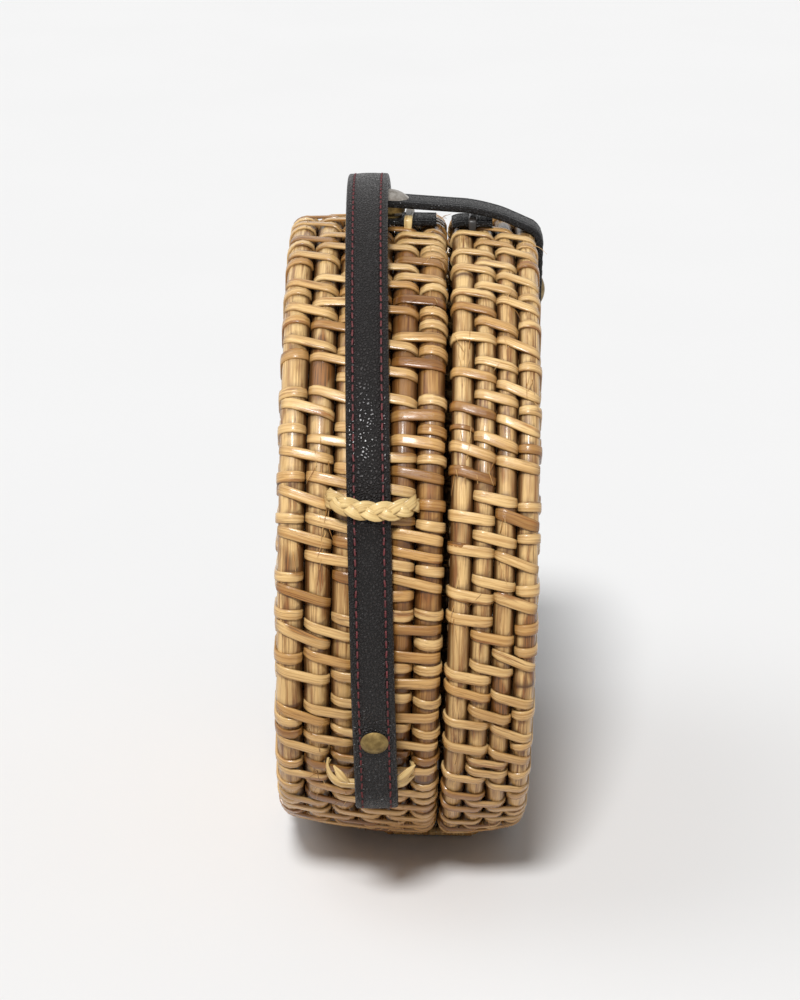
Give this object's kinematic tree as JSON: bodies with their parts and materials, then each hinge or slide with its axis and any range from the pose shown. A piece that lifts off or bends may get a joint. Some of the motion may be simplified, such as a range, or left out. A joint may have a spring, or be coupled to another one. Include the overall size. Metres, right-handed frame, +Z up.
{
  "type": "round sling bag",
  "caption": "Round hard-shell sling bag of coiled and bound cane with a lashed hinge, a leather snap closure and a leather shoulder strap.",
  "frame": {"origin": "on the floor under the middle of the bag, between its outermost points without the sling strap", "axes": "+X from the body shell towards the lid, across the bag's thickness; +Y to the side away from the picture's camera; +Z up, with the closure at the top and the hinge at the bottom"},
  "size_m": [0.0811, 0.2695, 0.2137],
  "materials": {
    "cane": "satin",
    "binding": "satin",
    "pale_cane": "satin",
    "strap_leather": "grained",
    "tab_leather": "grained",
    "brass": "aged"
  },
  "bodies": {
    "body": {"body_coil": "cane", "body_binding": "binding", "hinge_loop_left": "pale_cane", "hinge_loop_right": "pale_cane", "sling_strap": "strap_leather", "left_strap_rivet": "brass", "right_strap_rivet": "brass", "left_strap_keeper": "pale_cane", "right_strap_keeper": "pale_cane", "left_strap_anchor": "pale_cane", "right_strap_anchor": "pale_cane", "body_tab": "tab_leather", "body_tab_ties": "pale_cane", "snap_stud": "brass"},
    "lid": {"lid_coil": "cane", "lid_binding": "binding", "lid_tab": "tab_leather", "lid_tab_tie": "pale_cane", "closure_root": "tab_leather", "closure_rivet": "brass"},
    "flap": {"closure_flap": "tab_leather", "snap_cap": "brass", "snap_socket": "brass"}
  },
  "joints": [
    {"name": "lid_hinge", "type": "hinge", "parent": "body", "child": "lid", "pos_m": [0.01005, 0, 0.0004], "axis": [0, 1, 0], "range_deg": [0, 110], "deforming": ["hinge_loop_left", "hinge_loop_right"]},
    {"name": "flap_bend", "type": "hinge", "parent": "lid", "child": "flap", "pos_m": [0.01545, 0, 0.206], "axis": [0, 1, 0], "range_deg": [0, 100], "deforming": ["sling_strap"]}
  ]
}
